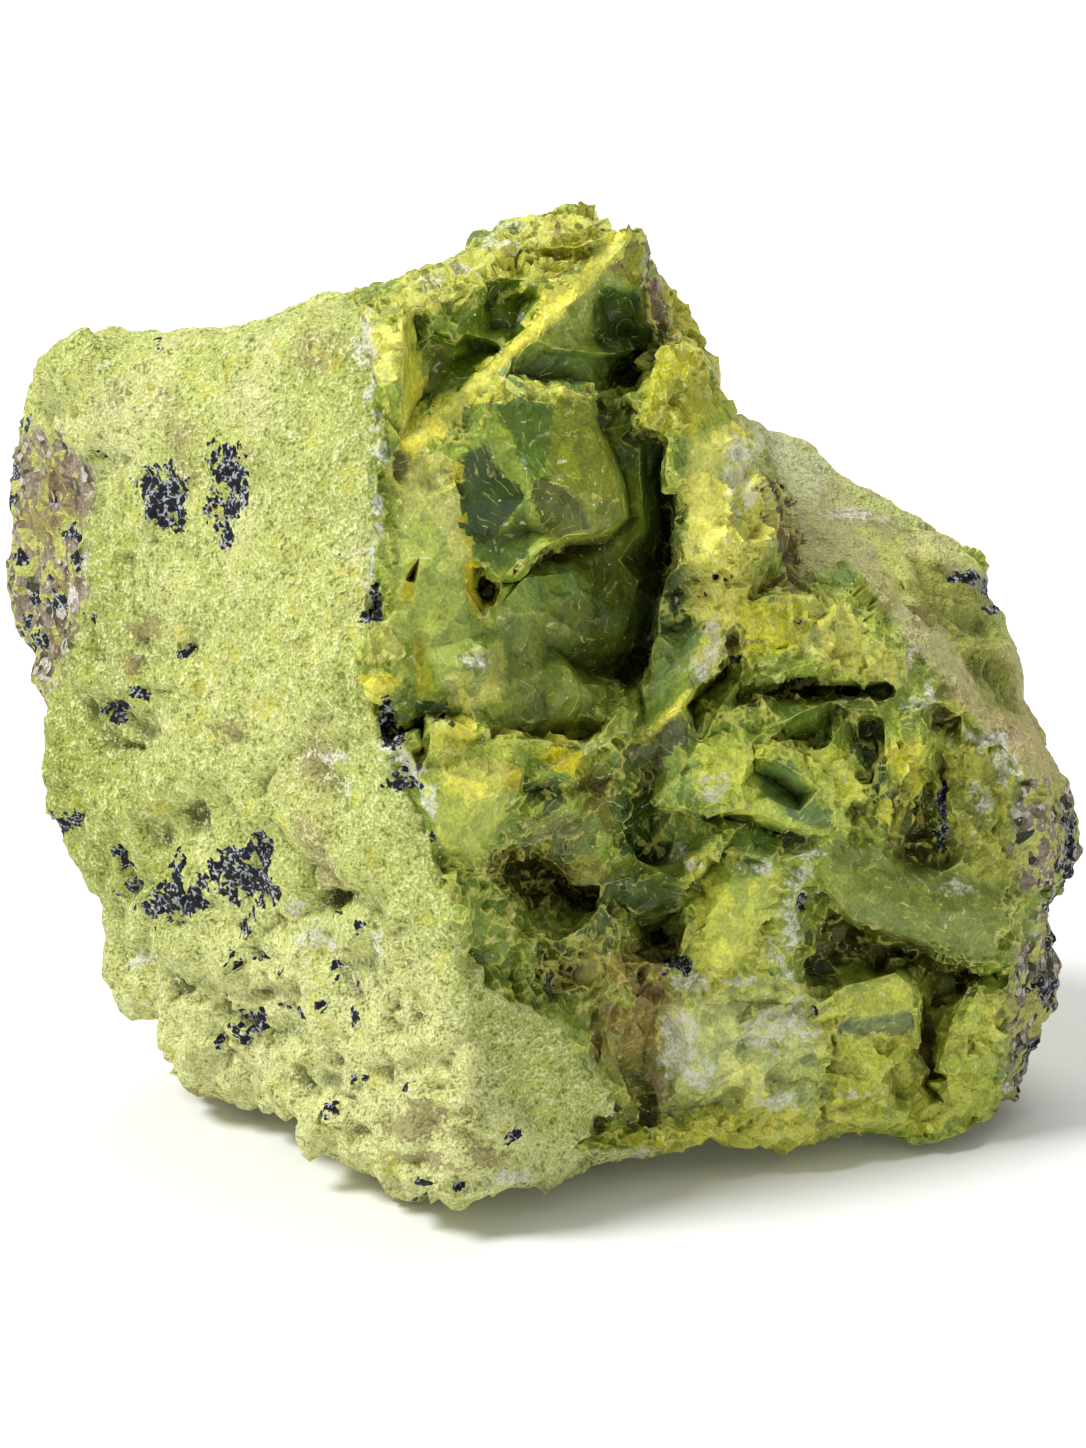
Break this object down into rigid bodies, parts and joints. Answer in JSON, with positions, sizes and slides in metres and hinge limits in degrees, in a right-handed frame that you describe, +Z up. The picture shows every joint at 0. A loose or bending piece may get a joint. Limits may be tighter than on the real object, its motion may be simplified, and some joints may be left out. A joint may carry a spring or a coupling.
{
  "type": "serpentine rock",
  "caption": "Broken lump of green serpentine rock with a weathered side, a ledged and hollowed broken face, and a flat spot to rest on.",
  "frame": {"origin": "middle of the flat spot that the rock rests on", "axes": "+Z up, +X to the right as seen from the broken face, -Y out of the broken face towards the viewer"},
  "size_m": [0.1087, 0.0844, 0.093],
  "materials": {
    "serpentine": "dull and granular where weathered, waxy where broken"
  },
  "bodies": {
    "root": {"serpentine_rock": "serpentine"}
  },
  "joints": []
}
